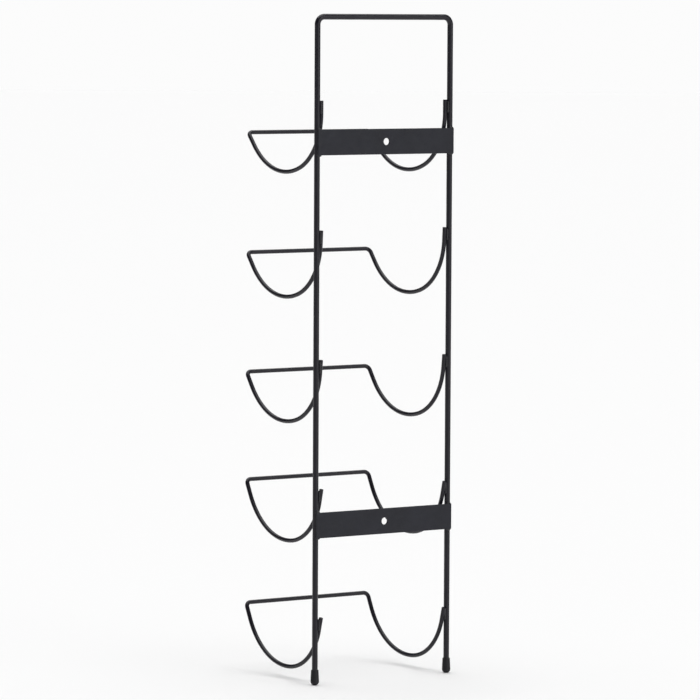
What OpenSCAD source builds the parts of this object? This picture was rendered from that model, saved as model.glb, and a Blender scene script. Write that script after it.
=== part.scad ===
// Wall-mounted wire wine rack for five bottles.
// A bent-wire hoop stands on two rubber caps. Two flat straps on its wall side carry the screw holes,
// and five bent-wire cradles are welded to the inner sides of the uprights.
// Frame: the wall is the plane y = 0, the bottles lie on the -Y side along X, +Z is up,
// and the origin is midway between the two screw holes.

/* [Hoop] */
// Overall height, from the underside of the foot caps to the top of the hoop
rack_height = 600; // [590:5:660]
// Height of the underside of the foot caps below the middle of the two screw holes
foot_drop = 315; // [310:1:330]
// Distance between the centrelines of the two uprights
upright_spacing = 145; // [120:1:200]
// Diameter of the hoop wire over its coat
hoop_wire = 5.2; // [4.6:0.2:6]
// Centreline radius of the two top corners of the hoop
hoop_corner = 7; // [6:0.5:20]

/* [Wall straps] */
// Distance between the two screw holes, which is also the distance between the straps
hole_spacing = 342; // [330:1:350]
// Height of each strap
strap_height = 23; // [18:1:26]
// Thickness of each strap
strap_thickness = 2; // [2:0.5:3]
// How far each end of a strap stops short of the outer side of the upright
strap_inset = 1; // [0:0.5:2]
// Diameter of the screw hole in the middle of each strap
screw_hole = 6.5; // [5:0.5:8]

/* [Cradles] */
// Diameter of the cradle wire over its coat
cradle_wire = 3.8; // [3:0.2:4]
// Height of the first cradle's weld point above the middle of the two screw holes
first_cradle = 196.5; // [190:0.5:200]
// Vertical distance from one cradle to the next
cradle_pitch = 115.5; // [112:0.5:116]
// Length of the straight tab above the weld point
tab_length = 11.5; // [8:0.5:12]
// Gap between each tab and its upright, which the weld fills
tab_gap = 0.3; // [0.2:0.1:0.6]
// How far the weld point sits in front of the upright's centreline
tab_forward = 0.6; // [0.6:0.1:1]
// Centreline radius of the wire just below the tab
back_radius = 52.5; // [45:0.5:60]
// Centreline radius of the hollow that the bottle lies in
belly_radius = 67.5; // [60:0.5:75]
// Length of the straight wire between the hollow and the front corner
front_riser = 10; // [2:1:20]
// Centreline radius of the two front corners
front_corner = 4.5; // [4:0.5:10]

/* [Cradle lean] */
// Lean of the first (highest) cradle's tabs towards the wall, in degrees
lean_1 = 0; // [0:0.5:16]
// Lean of the second cradle
lean_2 = 3; // [0:0.5:16]
// Lean of the third cradle
lean_3 = 6; // [0:0.5:16]
// Lean of the fourth cradle
lean_4 = 14; // [0:0.5:16]
// Lean of the fifth (lowest) cradle
lean_5 = 15; // [0:0.5:16]

/* [Foot caps] */
// Outer diameter of a foot cap at its mouth
cap_top = 6.8; // [6.4:0.1:8]
// Outer diameter of a foot cap at its foot
cap_foot = 7.7; // [7:0.1:9]
// Length of a foot cap
cap_length = 14; // [12:0.5:18]
// Thickness of rubber under the end of the wire
cap_floor = 2.5; // [2:0.5:4]

/* [Welds] */
// Length of the weld bead along each tab
tab_weld_length = 8; // [5:0.5:9]
// Radius of the weld bead along each tab
tab_weld = 1.3; // [1.1:0.1:1.5]
// Radius of the weld beads at the edges of the straps
strap_weld = 1.5; // [1.2:0.1:1.6]

/* [Hidden] */

coat = [0.16, 0.16, 0.18];
coat_light = [0.22, 0.22, 0.245];
rubber = [0.07, 0.07, 0.075];
wire_fn = 32;

xu = upright_spacing / 2;                         // an upright's centreline
hr = hoop_wire / 2;
cr = cradle_wire / 2;
yh = -strap_thickness - hr;                       // the hoop's plane
z_foot = -foot_drop;                              // underside of the foot caps
z_end = z_foot + cap_floor;                       // cut ends of the hoop wire
z_bar = rack_height - foot_drop - hr;             // centreline of the top bar
strap_half = xu + hr - strap_inset;               // half of a strap's length
xc = xu - hr - cr - tab_gap;                      // plane of a cradle's side
yw = yh - tab_forward;                            // weld point
leans = [lean_1, lean_2, lean_3, lean_4, lean_5];
// how far a cradle's wire turns at its back and in its belly: the angle of the whole-number
// triangle 44-117-125, so that each bend meets the next one face to face
back_angle = atan2(117, 44);
belly_angle = atan2(117, 44);
// weld bead along a tab: its axis lies in the groove on the wall side
bead_x = xu - hr - tab_gap / 2 - 0.25;
bead_y = 1.75;

function cradle_z(i) = first_cradle - (i - 1) * cradle_pitch;

// round wire from the origin along +Z
module rod(d, len) {
    cylinder(h = len, d = d, $fn = wire_fn);
}

// round wire bent about the Z axis: it starts at [r, 0], points along +Y there and turns through the angle
module bend(d, r, angle) {
    difference() {
        rotate_extrude(angle = 180, $fn = 96)
            translate([r, 0]) circle(d = d, $fn = wire_fn);
        rotate([0, 0, angle])
            translate([-2 * r - d, 0, -d]) cube([4 * r + 2 * d, 2 * r + d, 2 * d]);
    }
}

// the place where a bend of that radius and angle ends, with +Y along the wire
module after_bend(r, angle) {
    rotate([0, 0, angle]) translate([r, 0, 0]) children();
}

module upright(side) {
    translate([side * xu, yh, z_end]) rod(hoop_wire, z_bar - hoop_corner - z_end);
}

module hoop_frame() {
    color(coat) {
        upright(-1);
        upright(1);
        for (side = [0, 1]) mirror([side, 0, 0])
            translate([xu - hoop_corner, yh, z_bar - hoop_corner])
                rotate([90, 0, 0]) bend(hoop_wire, hoop_corner, 90);
        translate([-(xu - hoop_corner), yh, z_bar])
            rotate([0, 90, 0]) rod(hoop_wire, 2 * (xu - hoop_corner));
    }
}

module wall_strap(z) {
    color(coat_light)
        difference() {
            translate([-strap_half, -strap_thickness, z - strap_height / 2])
                cube([2 * strap_half, strap_thickness, strap_height]);
            translate([0, 1, z]) rotate([90, 0, 0])
                cylinder(h = strap_thickness + 2, d = screw_hole, $fn = 48);
        }
}

module upper_wall_strap() { wall_strap(hole_spacing / 2); }
module lower_wall_strap() { wall_strap(-hole_spacing / 2); }

// places a cradle's own frame: weld point at the origin, tab along +Z, bottle side -Y
module at_cradle(i) {
    translate([0, yw, cradle_z(i)]) rotate([-leans[i - 1], 0, 0]) children();
}

// straight tab, up the inner side of an upright
module cradle_tab() {
    translate([xc, 0, 0]) rod(cradle_wire, tab_length);
}

// a side's own frame: X across the side towards the wall, Y down it, starting at the weld point
module at_side() {
    translate([xc, -back_radius, 0]) rotate([-90, 0, 90]) children();
}

module cradle_back() {
    at_side() bend(cradle_wire, back_radius, back_angle);
}

// belly, riser and front corner, which follow the back; with the front bar where bar is true
module cradle_front(bar) {
    at_side() after_bend(back_radius, back_angle) translate([-belly_radius, 0, 0]) {
        bend(cradle_wire, belly_radius, belly_angle);
        after_bend(belly_radius, belly_angle) {
            rotate([-90, 0, 0]) rod(cradle_wire, front_riser);
            translate([0, front_riser, front_corner]) rotate([0, 90, 0]) bend(cradle_wire, front_corner, 90);
            if (bar) translate([0, front_riser + front_corner, front_corner])
                rod(cradle_wire, 2 * (xc - front_corner));
        }
    }
}

module bottle_cradle(i) {
    color(coat)
        at_cradle(i) {
            cradle_tab();
            cradle_back();
            cradle_front(true);
            mirror([1, 0, 0]) {
                cradle_tab();
                cradle_back();
                cradle_front(false);
            }
        }
}

module bottle_cradle_1() { bottle_cradle(1); }
module bottle_cradle_2() { bottle_cradle(2); }
module bottle_cradle_3() { bottle_cradle(3); }
module bottle_cradle_4() { bottle_cradle(4); }
module bottle_cradle_5() { bottle_cradle(5); }

// rubber cap pushed over the end of an upright: chamfered mouth, slight flare, rounded foot
module foot_cap(side) {
    rim = 3.4;
    chamfer = 0.8;
    color(rubber)
        translate([side * xu, yh, z_foot])
            difference() {
                union() {
                    rotate_extrude($fn = 64) intersection() {
                        translate([cap_foot / 2 - rim, rim]) circle(r = rim, $fn = 48);
                        square([cap_foot / 2 + 1, rim]);
                    }
                    cylinder(h = rim, r = cap_foot / 2 - rim, $fn = 64);
                    translate([0, 0, rim])
                        cylinder(h = cap_length - rim - chamfer, d1 = cap_foot, d2 = cap_top, $fn = 64);
                    translate([0, 0, cap_length - chamfer])
                        cylinder(h = chamfer, d1 = cap_top, d2 = hoop_wire + 0.6, $fn = 64);
                }
                translate([0, 0, cap_floor])
                    cylinder(h = cap_length, d = hoop_wire + 0.04, $fn = 64);
            }
}

module foot_cap_left() { foot_cap(-1); }
module foot_cap_right() { foot_cap(1); }

// bead with rounded ends in the groove between a tab and its upright, on the wall side
module tab_bead(i) {
    difference() {
        translate([bead_x, yh + bead_y, cradle_z(i) + 1]) {
            cylinder(h = tab_weld_length, r = tab_weld, $fn = 32);
            sphere(r = tab_weld, $fn = 32);
            translate([0, 0, tab_weld_length]) sphere(r = tab_weld, $fn = 32);
        }
        upright(1);
        at_cradle(i) {
            cradle_tab();
            cradle_back();
        }
    }
}

module cradle_welds() {
    color(coat_light)
        for (i = [1 : 5], side = [0, 1]) mirror([side, 0, 0]) tab_bead(i);
}

// bead with rounded ends where an edge of a strap crosses the back of an upright
module strap_bead(z, edge) {
    difference() {
        translate([xu - 1.6, 0.3 - strap_thickness, z + edge * strap_height / 2]) rotate([0, 90, 0]) {
            cylinder(h = 2, r = strap_weld, $fn = 32);
            sphere(r = strap_weld, $fn = 32);
            translate([0, 0, 2]) sphere(r = strap_weld, $fn = 32);
        }
        upright(1);
        translate([-strap_half, -strap_thickness, z - strap_height / 2])
            cube([2 * strap_half, strap_thickness, strap_height]);
    }
}

module strap_welds() {
    color(coat_light)
        for (z = [-hole_spacing / 2, hole_spacing / 2], edge = [-1, 1], side = [0, 1])
            mirror([side, 0, 0]) strap_bead(z, edge);
}

hoop_frame();
upper_wall_strap();
lower_wall_strap();
bottle_cradle_1();
bottle_cradle_2();
bottle_cradle_3();
bottle_cradle_4();
bottle_cradle_5();
foot_cap_left();
foot_cap_right();
cradle_welds();
strap_welds();
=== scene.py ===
import math

import bmesh
import bpy
from mathutils import Matrix, Vector, noise


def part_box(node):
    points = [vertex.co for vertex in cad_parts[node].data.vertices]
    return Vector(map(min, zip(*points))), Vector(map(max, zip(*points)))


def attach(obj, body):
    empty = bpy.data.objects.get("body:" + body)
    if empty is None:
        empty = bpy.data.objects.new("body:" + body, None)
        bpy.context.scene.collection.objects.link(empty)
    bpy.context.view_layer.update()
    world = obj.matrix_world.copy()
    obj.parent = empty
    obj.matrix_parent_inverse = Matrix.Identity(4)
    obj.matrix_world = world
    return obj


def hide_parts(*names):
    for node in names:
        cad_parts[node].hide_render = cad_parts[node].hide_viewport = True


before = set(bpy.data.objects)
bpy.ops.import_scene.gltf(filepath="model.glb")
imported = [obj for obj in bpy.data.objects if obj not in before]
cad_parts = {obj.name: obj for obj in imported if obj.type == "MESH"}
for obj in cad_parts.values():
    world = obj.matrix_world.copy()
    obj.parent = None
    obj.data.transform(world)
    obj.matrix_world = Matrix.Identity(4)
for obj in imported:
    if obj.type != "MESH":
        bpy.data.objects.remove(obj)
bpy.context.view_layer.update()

MM = 0.001


# ---------------------------------------------------------------- sizes, millimetres, as in the part's own source
WIRE = 5.2            # hoop wire over its coat
CRADLE_WIRE = 3.8
HOOP_CORNER = 7.0
STRAP_T = 2.0
STRAP_H = 23.0
HOLE_R = 3.25
TAB = 11.5
TAB_GAP = 0.3
TAB_FORWARD = 0.6
BACK_R = 52.5
BELLY_R = 67.5
RISER = 10.0
FRONT_R = 4.5
CAP_L = 14.0
CAP_TOP = 6.8
CAP_FOOT = 7.7
CAP_RIM = 3.4
CAP_FLOOR = 2.5
PITCH = 115.5
FIRST = 196.5
LEANS = (0.0, 3.0, 6.0, 14.0, 15.0)

hoop_lo, hoop_hi = (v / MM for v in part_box("hoop_frame"))
XU = hoop_hi.x - WIRE / 2                # an upright's centreline
YH = hoop_hi.y - WIRE / 2                # the hoop's plane
Z_BAR = hoop_hi.z - WIRE / 2             # the top bar's centreline
Z_END = hoop_lo.z
cap_lo, cap_hi = (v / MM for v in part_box("foot_cap_right"))
Z_FOOT = cap_lo.z
XC = XU - WIRE / 2 - CRADLE_WIRE / 2 - TAB_GAP
YW = YH - TAB_FORWARD
BACK_A = math.atan2(117, 44)
BELLY_A = math.atan2(117, 44)


# ---------------------------------------------------------------- mesh helpers
def finish_mesh(name, bm, slot, sharp=35.0, replaces=()):
    bmesh.ops.recalc_face_normals(bm, faces=bm.faces)
    me = bpy.data.meshes.new(name)
    bm.to_mesh(me)
    bm.free()
    me.transform(Matrix.Scale(MM, 4))
    for p in me.polygons:
        p.use_smooth = True
    me.set_sharp_from_angle(angle=math.radians(sharp))
    ob = bpy.data.objects.new(name, me)
    bpy.context.scene.collection.objects.link(ob)
    ob.data.materials.append(MATS[slot])
    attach(ob, "root")
    if replaces:
        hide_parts(*replaces)
    return ob


def wobble(p, amount, scale, seed):
    """a small smooth offset in millimetres that depends only on the place"""
    q = Vector(p) / scale + Vector((seed * 7.31, seed * 3.17, seed * 1.93))
    return amount * noise.noise(q)


def ring_mesh(bm, rings):
    """faces between successive rings of equal size; the end rings are left open"""
    rows = [[bm.verts.new(p) for p in ring] for ring in rings]
    n = len(rows[0])
    for a, b in zip(rows, rows[1:]):
        for k in range(n):
            bm.faces.new((a[k], a[(k + 1) % n], b[(k + 1) % n], b[k]))
    return rows


def close_end(bm, row, centre, flip):
    c = bm.verts.new(centre)
    n = len(row)
    for k in range(n):
        f = (row[k], row[(k + 1) % n], c)
        bm.faces.new(f if flip else f[::-1])


def sweep(bm, path, radius, sides=40, rim=0.45, seed=1, rough=0.018):
    """a round wire along a path, with softly rounded cut ends, as the coat leaves them"""
    pts = [Vector(p) for p in path]
    tang = []
    for i in range(len(pts)):
        a = pts[max(i - 1, 0)]
        b = pts[min(i + 1, len(pts) - 1)]
        tang.append((b - a).normalized())
    t = tang[0]
    ref = Vector((0, 0, 1)) if abs(t.z) < 0.7 else Vector((0, 1, 0))
    u = t.cross(ref).normalized()
    rings = []

    def ring(c, t, u, r, worn=True):
        v = t.cross(u)
        out = []
        for k in range(sides):
            a = 2 * math.pi * k / sides
            d = u * math.cos(a) + v * math.sin(a)
            rr = r
            if worn:
                rr += wobble(c + d * r, rough, 9.0, seed) + wobble(c + d * r, rough * 0.5, 2.4, seed + 3)
            out.append(c + d * min(rr, radius))
        return out

    steps = 5                                    # rounded rims at both cut ends
    for s in range(steps):
        a = math.pi / 2 * s / steps
        rings.append(ring(pts[0] + tang[0] * (rim - rim * math.cos(a)), tang[0], u, radius - rim + rim * math.sin(a), False))
    frames = [(pts[0] + tang[0] * rim, tang[0], u.copy())]
    for i in range(1, len(pts)):
        q = tang[i - 1].rotation_difference(tang[i])
        u = (q @ u)
        u = (u - tang[i] * u.dot(tang[i])).normalized()
        if i < len(pts) - 1:
            if (pts[i] - pts[0]).length > rim * 1.05 and (pts[i] - pts[-1]).length > rim * 1.05:
                frames.append((pts[i], tang[i], u.copy()))
    frames.append((pts[-1] - tang[-1] * rim, tang[-1], u.copy()))
    for c, t, uu in frames:
        rings.append(ring(c, t, uu, radius))
    for s in range(1, steps + 1):
        a = math.pi / 2 * (1 - s / steps)
        rings.append(ring(pts[-1] - tang[-1] * (rim - rim * math.cos(a)), tang[-1], u, radius - rim + rim * math.sin(a), False))
    rows = ring_mesh(bm, rings)
    close_end(bm, rows[0], pts[0] , False)
    close_end(bm, rows[-1], pts[-1], True)


def straight(a, b, step):
    a, b = Vector(a), Vector(b)
    n = max(1, int(round((b - a).length / step)))
    return [a.lerp(b, i / n) for i in range(n + 1)]


def join_paths(*parts):
    out = []
    for part in parts:
        for p in part:
            if not out or (Vector(p) - out[-1]).length > 1e-4:
                out.append(Vector(p))
    return out


def turned(profile, segs, place):
    """a closed turned solid: profile is (radius, z) from the bottom's middle to the bore's middle"""
    bm = bmesh.new()
    first = bm.verts.new(place(0, 0, profile[0][1]))
    rows = []
    for r, z in profile[1:-1]:
        rows.append([bm.verts.new(place(r * math.cos(2 * math.pi * k / segs), r * math.sin(2 * math.pi * k / segs), z)) for k in range(segs)])
    last = bm.verts.new(place(0, 0, profile[-1][1]))
    for k in range(segs):
        j = (k + 1) % segs
        bm.faces.new((first, rows[0][j], rows[0][k]))
        for a, b in zip(rows, rows[1:]):
            bm.faces.new((a[k], a[j], b[j], b[k]))
        bm.faces.new((last, rows[-1][k], rows[-1][j]))
    return bm


# ---------------------------------------------------------------- materials
def node(tree, kind, at=(0, 0), **values):
    n = tree.nodes.new(kind)
    n.location = at
    for k, v in values.items():
        if k.startswith("in_"):
            n.inputs[k[3:].replace("_", " ")].default_value = v
        else:
            setattr(n, k, v)
    return n


def fresh(name):
    m = bpy.data.materials.new(name)
    m.use_nodes = True
    t = m.node_tree
    t.nodes.clear()
    out = node(t, "ShaderNodeOutputMaterial", (900, 0))
    b = node(t, "ShaderNodeBsdfPrincipled", (600, 0))
    t.links.new(b.outputs["BSDF"], out.inputs["Surface"])
    return m, t, b


def powder_coat(name, dark, light, rough, peel=1.0, specular=0.5, worn=0.35):
    """satin powder coat: orange peel, fine grain, faint cloudiness; sharp edges lighter, partly the thinner coat
    there and partly a painted sheen
    """
    m, t, b = fresh(name)
    co = node(t, "ShaderNodeTexCoord", (-1400, 0))
    obj = co.outputs["Object"]
    cloud = node(t, "ShaderNodeTexNoise", (-1150, 320), in_Scale=38.0, in_Detail=4.0, in_Roughness=0.6)
    speck = node(t, "ShaderNodeTexNoise", (-1150, 80), in_Scale=2600.0, in_Detail=2.0, in_Roughness=0.5)
    peel_n = node(t, "ShaderNodeTexNoise", (-1150, -160), in_Scale=620.0, in_Detail=2.5, in_Roughness=0.45)
    wave = node(t, "ShaderNodeTexNoise", (-1150, -400), in_Scale=150.0, in_Detail=1.0, in_Roughness=0.4)
    for n in (cloud, speck, peel_n, wave):
        t.links.new(obj, n.inputs["Vector"])
    # colour: cloudy variation, then tiny lighter grains, then lighter sharp edges, partly thin rubbed coat and
    # partly painted sheen
    ramp = node(t, "ShaderNodeValToRGB", (-900, 320))
    ramp.color_ramp.elements[0].position = 0.30
    ramp.color_ramp.elements[0].color = (*dark, 1)
    ramp.color_ramp.elements[1].position = 0.72
    ramp.color_ramp.elements[1].color = (*light, 1)
    t.links.new(cloud.outputs["Fac"], ramp.inputs["Fac"])
    grain = node(t, "ShaderNodeMapRange", (-900, 80))
    grain.inputs["From Min"].default_value = 0.58
    grain.inputs["From Max"].default_value = 0.80
    grain.inputs["To Min"].default_value = 0.0
    grain.inputs["To Max"].default_value = 0.35
    t.links.new(speck.outputs["Fac"], grain.inputs["Value"])
    mix1 = node(t, "ShaderNodeMix", (-600, 260), data_type="RGBA")
    t.links.new(grain.outputs["Result"], mix1.inputs["Factor"])
    t.links.new(ramp.outputs["Color"], mix1.inputs[6])
    mix1.inputs[7].default_value = (light[0] * 2.2, light[1] * 2.2, light[2] * 2.2, 1)
    # painted sheen: convex edges (pointiness) are lightened in cloudy patches, partly standing for the thinner
    # coat there and partly for a sheen
    geo = node(t, "ShaderNodeNewGeometry", (-1150, 560))
    edge = node(t, "ShaderNodeMapRange", (-900, 560))
    edge.inputs["From Min"].default_value = 0.56
    edge.inputs["From Max"].default_value = 0.74
    edge.inputs["To Min"].default_value = 0.0
    edge.inputs["To Max"].default_value = worn
    t.links.new(geo.outputs["Pointiness"], edge.inputs["Value"])
    edge_wear_and_sheen = node(t, "ShaderNodeMath", (-700, 560), operation="MULTIPLY")
    t.links.new(edge.outputs["Result"], edge_wear_and_sheen.inputs[0])
    t.links.new(cloud.outputs["Fac"], edge_wear_and_sheen.inputs[1])
    mix2 = node(t, "ShaderNodeMix", (-350, 300), data_type="RGBA")
    t.links.new(edge_wear_and_sheen.outputs["Value"], mix2.inputs["Factor"])
    t.links.new(mix1.outputs[2], mix2.inputs[6])
    mix2.inputs[7].default_value = (light[0] * 3.0, light[1] * 3.0, light[2] * 3.0, 1)
    t.links.new(mix2.outputs[2], b.inputs["Base Color"])
    # roughness
    rr = node(t, "ShaderNodeMapRange", (-600, 0))
    rr.inputs["From Min"].default_value = 0.3
    rr.inputs["From Max"].default_value = 0.7
    rr.inputs["To Min"].default_value = rough - 0.05
    rr.inputs["To Max"].default_value = rough + 0.06
    t.links.new(wave.outputs["Fac"], rr.inputs["Value"])
    t.links.new(rr.outputs["Result"], b.inputs["Roughness"])
    # relief
    add = node(t, "ShaderNodeMath", (-800, -260), operation="MULTIPLY_ADD")
    t.links.new(speck.outputs["Fac"], add.inputs[0])
    add.inputs[1].default_value = 0.16
    t.links.new(peel_n.outputs["Fac"], add.inputs[2])
    add2 = node(t, "ShaderNodeMath", (-600, -300), operation="MULTIPLY_ADD")
    t.links.new(wave.outputs["Fac"], add2.inputs[0])
    add2.inputs[1].default_value = 1.6
    t.links.new(add.outputs["Value"], add2.inputs[2])
    bump = node(t, "ShaderNodeBump", (-350, -250), in_Strength=0.55 * peel, in_Distance=0.00012)
    t.links.new(add2.outputs["Value"], bump.inputs["Height"])
    t.links.new(bump.outputs["Normal"], b.inputs["Normal"])
    b.inputs["Specular IOR Level"].default_value = specular
    b.inputs["IOR"].default_value = 1.5
    return m


def moulded_rubber(name, dark, light, rough):
    m, t, b = fresh(name)
    co = node(t, "ShaderNodeTexCoord", (-1400, 0))
    obj = co.outputs["Object"]
    dust = node(t, "ShaderNodeTexNoise", (-1150, 300), in_Scale=260.0, in_Detail=5.0, in_Roughness=0.65)
    fine = node(t, "ShaderNodeTexNoise", (-1150, 0), in_Scale=3200.0, in_Detail=2.0, in_Roughness=0.55)
    pits = node(t, "ShaderNodeTexVoronoi", (-1150, -280), in_Scale=1500.0)
    for n in (dust, fine, pits):
        t.links.new(obj, n.inputs["Vector"])
    ramp = node(t, "ShaderNodeValToRGB", (-900, 300))
    ramp.color_ramp.elements[0].position = 0.35
    ramp.color_ramp.elements[0].color = (*dark, 1)
    ramp.color_ramp.elements[1].position = 0.78
    ramp.color_ramp.elements[1].color = (*light, 1)
    t.links.new(dust.outputs["Fac"], ramp.inputs["Fac"])
    t.links.new(ramp.outputs["Color"], b.inputs["Base Color"])
    rr = node(t, "ShaderNodeMapRange", (-600, 0))
    rr.inputs["From Min"].default_value = 0.3
    rr.inputs["From Max"].default_value = 0.7
    rr.inputs["To Min"].default_value = rough - 0.07
    rr.inputs["To Max"].default_value = rough + 0.07
    t.links.new(dust.outputs["Fac"], rr.inputs["Value"])
    t.links.new(rr.outputs["Result"], b.inputs["Roughness"])
    add = node(t, "ShaderNodeMath", (-800, -200), operation="MULTIPLY_ADD")
    t.links.new(pits.outputs["Distance"], add.inputs[0])
    add.inputs[1].default_value = 0.5
    t.links.new(fine.outputs["Fac"], add.inputs[2])
    bump = node(t, "ShaderNodeBump", (-350, -250), in_Strength=0.5, in_Distance=0.00008)
    t.links.new(add.outputs["Value"], bump.inputs["Height"])
    t.links.new(bump.outputs["Normal"], b.inputs["Normal"])
    b.inputs["Specular IOR Level"].default_value = 0.35
    return m


# worn sets how strongly sharp edges are painted lighter: partly thinner coat, partly painted sheen
MATS = {
    "wire_coat": powder_coat("wire_coat", (0.0052, 0.0042, 0.0090), (0.0080, 0.0068, 0.0130), 0.33, peel=1.5, specular=0.345, worn=0.08),
    "strap_coat": powder_coat("strap_coat", (0.0058, 0.0064, 0.0116), (0.0116, 0.0126, 0.0208), 0.46, peel=1.9, specular=0.305),
    "weld_coat": powder_coat("weld_coat", (0.0064, 0.0060, 0.0090), (0.0098, 0.0092, 0.0128), 0.34, peel=0.4, specular=0.42),
    "cap_rubber": moulded_rubber("cap_rubber", (0.0062, 0.0060, 0.0078), (0.0120, 0.0116, 0.0142), 0.58),
}


# ---------------------------------------------------------------- hoop
def hoop_path():
    z_top = Z_BAR - HOOP_CORNER
    left = straight((-XU, YH, Z_END), (-XU, YH, z_top), 2.5)
    arc_l = [(-XU + HOOP_CORNER - HOOP_CORNER * math.cos(a), YH, z_top + HOOP_CORNER * math.sin(a)) for a in (math.pi / 2 * k / 20 for k in range(21))]
    bar = straight((-XU + HOOP_CORNER, YH, Z_BAR), (XU - HOOP_CORNER, YH, Z_BAR), 2.5)
    arc_r = [(XU - HOOP_CORNER + HOOP_CORNER * math.sin(a), YH, z_top + HOOP_CORNER * math.cos(a)) for a in (math.pi / 2 * k / 20 for k in range(21))]
    right = straight((XU, YH, z_top), (XU, YH, Z_END), 2.5)
    return join_paths(left, arc_l, bar, arc_r, right)


bm = bmesh.new()
sweep(bm, hoop_path(), WIRE / 2, sides=48, rim=0.4, seed=1)
finish_mesh("hoop_wire", bm, "wire_coat", replaces=("hoop_frame",))


# ---------------------------------------------------------------- cradles
def cradle_side(side):
    """one side in the cradle's own frame (weld point at the origin, tab along +Z, bottles on -Y), from the tab's top to the front bar"""
    x = side * XC
    pts = straight((x, 0, TAB), (x, 0, 0), 1.0)
    n = 64
    for k in range(1, n + 1):
        a = BACK_A * k / n
        pts.append(Vector((x, -BACK_R + BACK_R * math.cos(a), -BACK_R * math.sin(a))))
    c = Vector((x, -BACK_R + (BACK_R - BELLY_R) * math.cos(BACK_A), (BELLY_R - BACK_R) * math.sin(BACK_A)))
    n = 84
    for k in range(1, n + 1):
        a = BACK_A + BELLY_A * k / n
        pts.append(c + Vector((0, BELLY_R * math.cos(a), -BELLY_R * math.sin(a))))
    a = BACK_A + BELLY_A
    along = Vector((0, -math.sin(a), -math.cos(a)))
    end = pts[-1] + along * RISER
    pts += straight(pts[-1], end, 1.25)[1:]
    inward = Vector((-side, 0, 0))
    cc = end + inward * FRONT_R
    n = 18
    for k in range(1, n + 1):
        b = math.pi / 2 * k / n
        pts.append(cc - inward * FRONT_R * math.cos(b) + along * FRONT_R * math.sin(b))
    return pts


def cradle(i):
    lean = math.radians(LEANS[i - 1])
    m = Matrix.Translation((0, YW, FIRST - (i - 1) * PITCH)) @ Matrix.Rotation(-lean, 4, "X")
    one = cradle_side(1)
    two = cradle_side(-1)[::-1]
    bar = straight(one[-1], two[0], 2.5)
    path = [m @ Vector(p) for p in join_paths(one, bar, two)]
    bm = bmesh.new()
    sweep(bm, path, CRADLE_WIRE / 2, sides=40, rim=0.35, seed=10 + i)
    finish_mesh("cradle_wire_%d" % i, bm, "wire_coat", replaces=("bottle_cradle_%d" % i,))


for i in range(1, 6):
    cradle(i)


# ---------------------------------------------------------------- wall straps
def strap(name, cad):
    lo, hi = (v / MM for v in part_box(cad))
    zc = (lo.z + hi.z) / 2
    xc = (lo.x + hi.x) / 2
    half = (hi.x - lo.x) / 2
    h = (hi.z - lo.z) / 2
    t = hi.y - lo.y
    bm = bmesh.new()
    n = 64
    per = n // 4

    def square(k):
        """point on the square of half side h round the hole, in the same direction as step k of the circle"""
        a = 2 * math.pi * k / n - math.pi / 4
        c, s = math.cos(a), math.sin(a)
        m = h / max(abs(c), abs(s))
        return c * m, s * m

    faces = {}
    for y in (hi.y, lo.y):
        loops = []
        for f in (0.0, 0.10, 0.28, 0.55, 0.8, 1.0):
            loop = []
            for k in range(n):
                a = 2 * math.pi * k / n - math.pi / 4
                px, pz = square(k)
                hx, hz = HOLE_R * math.cos(a), HOLE_R * math.sin(a)
                loop.append(bm.verts.new((xc + hx + (px - hx) * f, y, zc + hz + (pz - hz) * f)))
            loops.append(loop)
        for a, b in zip(loops, loops[1:]):
            for k in range(n):
                j = (k + 1) % n
                bm.faces.new((a[k], a[j], b[j], b[k]))
        # right side of the square is steps 0..per, left side is steps 2*per..3*per
        right = [loops[-1][k] for k in range(0, per + 1)]
        left = [loops[-1][k % n] for k in range(3 * per, 2 * per - 1, -1)]
        cols = {1: right, -1: left}
        ends = {}
        for sgn in (1, -1):
            prev = cols[sgn]
            steps = 14
            for c in range(1, steps + 1):
                x = xc + sgn * (h + (half - h) * c / steps)
                col = [bm.verts.new((x, y, v.co.z)) for v in prev]
                for k in range(per):
                    bm.faces.new((prev[k], prev[k + 1], col[k + 1], col[k]))
                prev = col
            ends[sgn] = prev
        faces[y] = (loops, ends)
    bm.verts.ensure_lookup_table()
    # walls between the two faces: every boundary edge of one face pairs with the same edge of the other
    top = {}
    bm.edges.ensure_lookup_table()
    edges = [e for e in bm.edges if e.is_boundary]

    def key(v):
        return (round(v.co.x, 4), round(v.co.z, 4))

    back = {key(v): v for e in edges for v in e.verts if abs(v.co.y - lo.y) < 1e-6}
    for e in edges:
        a, b = e.verts
        if abs(a.co.y - hi.y) < 1e-6:
            bm.faces.new((a, b, back[key(b)], back[key(a)]))
    bmesh.ops.recalc_face_normals(bm, faces=bm.faces)
    sharp = [e for e in bm.edges if len(e.link_faces) == 2 and e.calc_face_angle(0) > math.radians(60)]
    bmesh.ops.bevel(bm, geom=sharp, offset=0.42, offset_type="OFFSET", segments=4, profile=0.5, affect="EDGES", clamp_overlap=True)
    # a cold-drawn flat is never quite flat: a few hundredths of a millimetre
    for v in bm.verts:
        w = wobble((v.co.x, 0, v.co.z), 0.03, 16.0, 5)
        if v.co.y > lo.y + t / 2:
            v.co.y = min(v.co.y + w - 0.02, hi.y)
        else:
            v.co.y = max(v.co.y - w + 0.02, lo.y)
    finish_mesh(name, bm, "strap_coat", sharp=50, replaces=(cad,))


strap("strap_plate_upper", "upper_wall_strap")
strap("strap_plate_lower", "lower_wall_strap")


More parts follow.
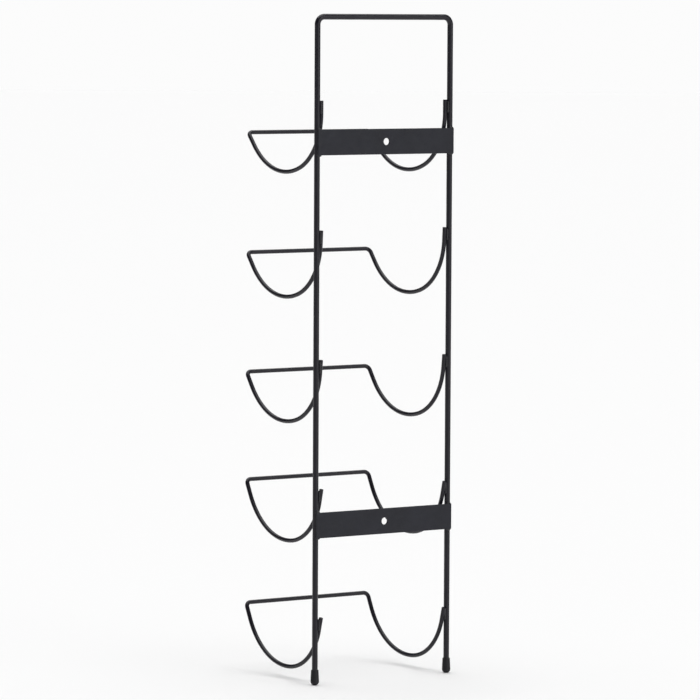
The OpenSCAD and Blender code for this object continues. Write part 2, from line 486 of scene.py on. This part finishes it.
# ---------------------------------------------------------------- foot caps
def cap_profile():
    p = [(0, 0)]
    flat = CAP_FOOT / 2 - CAP_RIM
    p += [(flat * 0.5, 0.0), (flat, 0.0)]
    n = 14
    for k in range(1, n + 1):
        a = math.pi / 2 * k / n
        p.append((flat + CAP_RIM * math.sin(a), CAP_RIM - CAP_RIM * math.cos(a)))
    z0, z1 = CAP_RIM, CAP_L - 0.8
    for k in range(1, 13):
        f = k / 12
        p.append(((CAP_FOOT + (CAP_TOP - CAP_FOOT) * f) / 2, z0 + (z1 - z0) * f))
    # rolled mouth
    r1 = CAP_TOP / 2
    p += [(r1 - 0.04, z1 + 0.18), (r1 - 0.14, z1 + 0.36), (r1 - 0.28, z1 + 0.54), (r1 - 0.46, z1 + 0.69), (r1 - 0.62, z1 + 0.78), (r1 - 0.72, z1 + 0.80), (r1 - 0.80, z1 + 0.78), (r1 - 0.86, z1 + 0.70)]
    p += [(WIRE / 2 + 0.03, z1 + 0.55), (WIRE / 2 + 0.03, z1 - 1.0), (WIRE / 2 + 0.03, CAP_FLOOR + 0.5)]
    p += [(WIRE / 2 - 0.3, CAP_FLOOR), (0, CAP_FLOOR)]
    return p


def foot_cap(name, cad):
    lo, hi = (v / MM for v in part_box(cad))
    cx, cy = (lo.x + hi.x) / 2, (lo.y + hi.y) / 2

    def place(x, y, z):
        return Vector((cx + x, cy + y, lo.z + z))

    bm = turned(cap_profile(), 72, place)
    finish_mesh(name, bm, "cap_rubber", sharp=60, replaces=(cad,))


foot_cap("rubber_cap_left", "foot_cap_left")
foot_cap("rubber_cap_right", "foot_cap_right")


# ---------------------------------------------------------------- welds
def bead(bm, a, b, up, radius, ripples, seed, sides=28, flatten=0.85):
    """a laid weld bead from a to b: overlapping ripples, a domed crown along up, and rounded ends"""
    a, b, up = Vector(a), Vector(b), Vector(up).normalized()
    t = (b - a).normalized()
    up = (up - t * up.dot(t)).normalized()
    w = t.cross(up)
    length = (b - a).length
    rings = []
    n = 64
    for i in range(1, n):
        s = i / n
        z = -radius + (length + 2 * radius) * s
        # rounded ends
        if z < 0:
            env = math.sqrt(max(0.0, 1 - (z / radius) ** 2))
        elif z > length:
            env = math.sqrt(max(0.0, 1 - ((z - length) / radius) ** 2))
        else:
            env = 1.0
        ph = (z / length) * ripples
        saw = ph - math.floor(ph)
        rip = 1.0 - 0.10 * (saw ** 2) * min(1.0, env * 1.2)
        ring = []
        for k in range(sides):
            ang = 2 * math.pi * k / sides
            cu, cw = math.cos(ang), math.sin(ang)
            r = radius * env * rip
            p = a + t * (z + 0.35 * cu * env * (1 if 0 < z < length else 0.3))
            q = p + up * (cu * r * flatten) + w * (cw * r)
            q += (up * cu + w * cw) * wobble(q, 0.10 * env, 0.9, seed)
            ring.append(q)
        rings.append(ring)
    rows = ring_mesh(bm, rings)
    close_end(bm, rows[0], a - t * radius, False)
    close_end(bm, rows[-1], b + t * radius, True)


bm = bmesh.new()
for i in range(1, 6):
    for side in (1, -1):
        z = FIRST - (i - 1) * PITCH
        x = side * (XU - WIRE / 2 - TAB_GAP / 2 - 0.25)
        bead(bm, (x, YH + 1.62, z + 1.0), (x, YH + 1.62, z + 9.0), (0, 1, 0), 1.22, 5.5, 20 + i * 2 + side)
finish_mesh("cradle_weld_beads", bm, "weld_coat", replaces=("cradle_welds",))

bm = bmesh.new()
for k, cad in enumerate(("upper_wall_strap", "lower_wall_strap")):
    lo, hi = (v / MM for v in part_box(cad))
    for edge, z in ((1, hi.z), (-1, lo.z)):
        for side in (1, -1):
            y = hi.y - STRAP_T + 0.25
            bead(bm, (side * (XU - 1.5), y, z), (side * (XU + 0.4), y, z), (0, 0.75, edge), 1.35, 2.0, 40 + k * 4 + edge + side, flatten=0.9)
finish_mesh("strap_weld_beads", bm, "weld_coat", replaces=("strap_welds",))


# ---------------------------------------------------------------- floor, light, camera
FLOOR_GLOW = 0.042


def stage_floor():
    bm = bmesh.new()
    segs = 128
    rows = []
    for r in (0.4, 1.0, 2.0, 4.0, 8.0, 16.0, 30.0):
        rows.append([bm.verts.new((r * math.cos(2 * math.pi * k / segs), r * math.sin(2 * math.pi * k / segs), 0)) for k in range(segs)])
    c = bm.verts.new((0, 0, 0))
    for k in range(segs):
        j = (k + 1) % segs
        bm.faces.new((c, rows[0][k], rows[0][j]))
        for a, b in zip(rows, rows[1:]):
            bm.faces.new((a[k], b[k], b[j], a[j]))
    me = bpy.data.meshes.new("floor")
    bm.to_mesh(me)
    bm.free()
    ob = bpy.data.objects.new("floor", me)
    bpy.context.scene.collection.objects.link(ob)
    ob.location = (0, 0, Z_FOOT * MM)
    m = bpy.data.materials.new("floor_paper")
    m.use_nodes = True
    b = m.node_tree.nodes["Principled BSDF"]
    b.inputs["Base Color"].default_value = (0.88, 0.88, 0.88, 1)
    b.inputs["Roughness"].default_value = 0.9
    b.inputs["Specular IOR Level"].default_value = 0.1
    b.inputs["Emission Color"].default_value = (1, 1, 1, 1)
    b.inputs["Emission Strength"].default_value = FLOOR_GLOW
    ob.data.materials.append(m)
    return ob


stage_floor()


def soft_sun(name, azimuth, elevation, spread, strength):
    """a very soft, very distant light, so that the floor is lit evenly out to the horizon"""
    a, e = math.radians(azimuth), math.radians(elevation)
    d = Vector((math.sin(a) * math.cos(e), math.cos(a) * math.cos(e), math.sin(e)))
    li = bpy.data.lights.new(name, "SUN")
    li.angle = math.radians(spread)
    li.energy = strength
    ob = bpy.data.objects.new(name, li)
    bpy.context.scene.collection.objects.link(ob)
    ob.rotation_euler = (-d).to_track_quat("-Z", "Y").to_euler()
    return ob


soft_sun("key", -18, 14, 46, 1.15)
soft_sun("top", 215, 80, 74, 3.00)

world = bpy.data.worlds.new("studio")
bpy.context.scene.world = world
world.use_nodes = True
wt = world.node_tree
wt.nodes.clear()
wo = wt.nodes.new("ShaderNodeOutputWorld")
bg_seen = wt.nodes.new("ShaderNodeBackground")
bg_seen.inputs["Color"].default_value = (1, 1, 1, 1)
bg_seen.inputs["Strength"].default_value = 0.972
bg_lit = wt.nodes.new("ShaderNodeBackground")
bg_lit.inputs["Color"].default_value = (1, 1, 1, 1)
bg_lit.inputs["Strength"].default_value = 0.05
path_n = wt.nodes.new("ShaderNodeLightPath")
mixw = wt.nodes.new("ShaderNodeMixShader")
wt.links.new(path_n.outputs["Is Camera Ray"], mixw.inputs["Fac"])
wt.links.new(bg_lit.outputs["Background"], mixw.inputs[1])
wt.links.new(bg_seen.outputs["Background"], mixw.inputs[2])
wt.links.new(mixw.outputs["Shader"], wo.inputs["Surface"])

bpy.context.scene.view_settings.view_transform = "Standard"
bpy.context.scene.view_settings.look = "None"

# camera: 35 degrees round from square-on to the wall side, about 4 degrees above, long lens
CAM_A, CAM_E, CAM_D = math.radians(35.0), math.radians(4.2), 4150.0
CAM_YAW, CAM_PITCH, CAM_ROLL = math.radians(-0.409), math.radians(0.029), math.radians(0.281)
CAM_F = 4610.7
eye = Vector((math.sin(CAM_A) * math.cos(CAM_E), math.cos(CAM_A) * math.cos(CAM_E), math.sin(CAM_E))) * CAM_D + Vector((0, YH, -14.68))
ya, pa = CAM_A + CAM_YAW, CAM_E + CAM_PITCH
fwd = -Vector((math.sin(ya) * math.cos(pa), math.cos(ya) * math.cos(pa), math.sin(pa)))
right = fwd.cross(Vector((0, 0, 1))).normalized()
up = right.cross(fwd)
r2 = right * math.cos(CAM_ROLL) + up * math.sin(CAM_ROLL)
u2 = -right * math.sin(CAM_ROLL) + up * math.cos(CAM_ROLL)
cam = bpy.data.cameras.new("camera")
cam.sensor_width = 36.0
cam.lens = CAM_F * 36.0 / 700.0
cam.clip_end = 100.0
co = bpy.data.objects.new("camera", cam)
bpy.context.scene.collection.objects.link(co)
co.matrix_world = Matrix((
    (r2.x, u2.x, -fwd.x, eye.x * MM),
    (r2.y, u2.y, -fwd.y, eye.y * MM),
    (r2.z, u2.z, -fwd.z, eye.z * MM),
    (0, 0, 0, 1)))
bpy.context.scene.camera = co
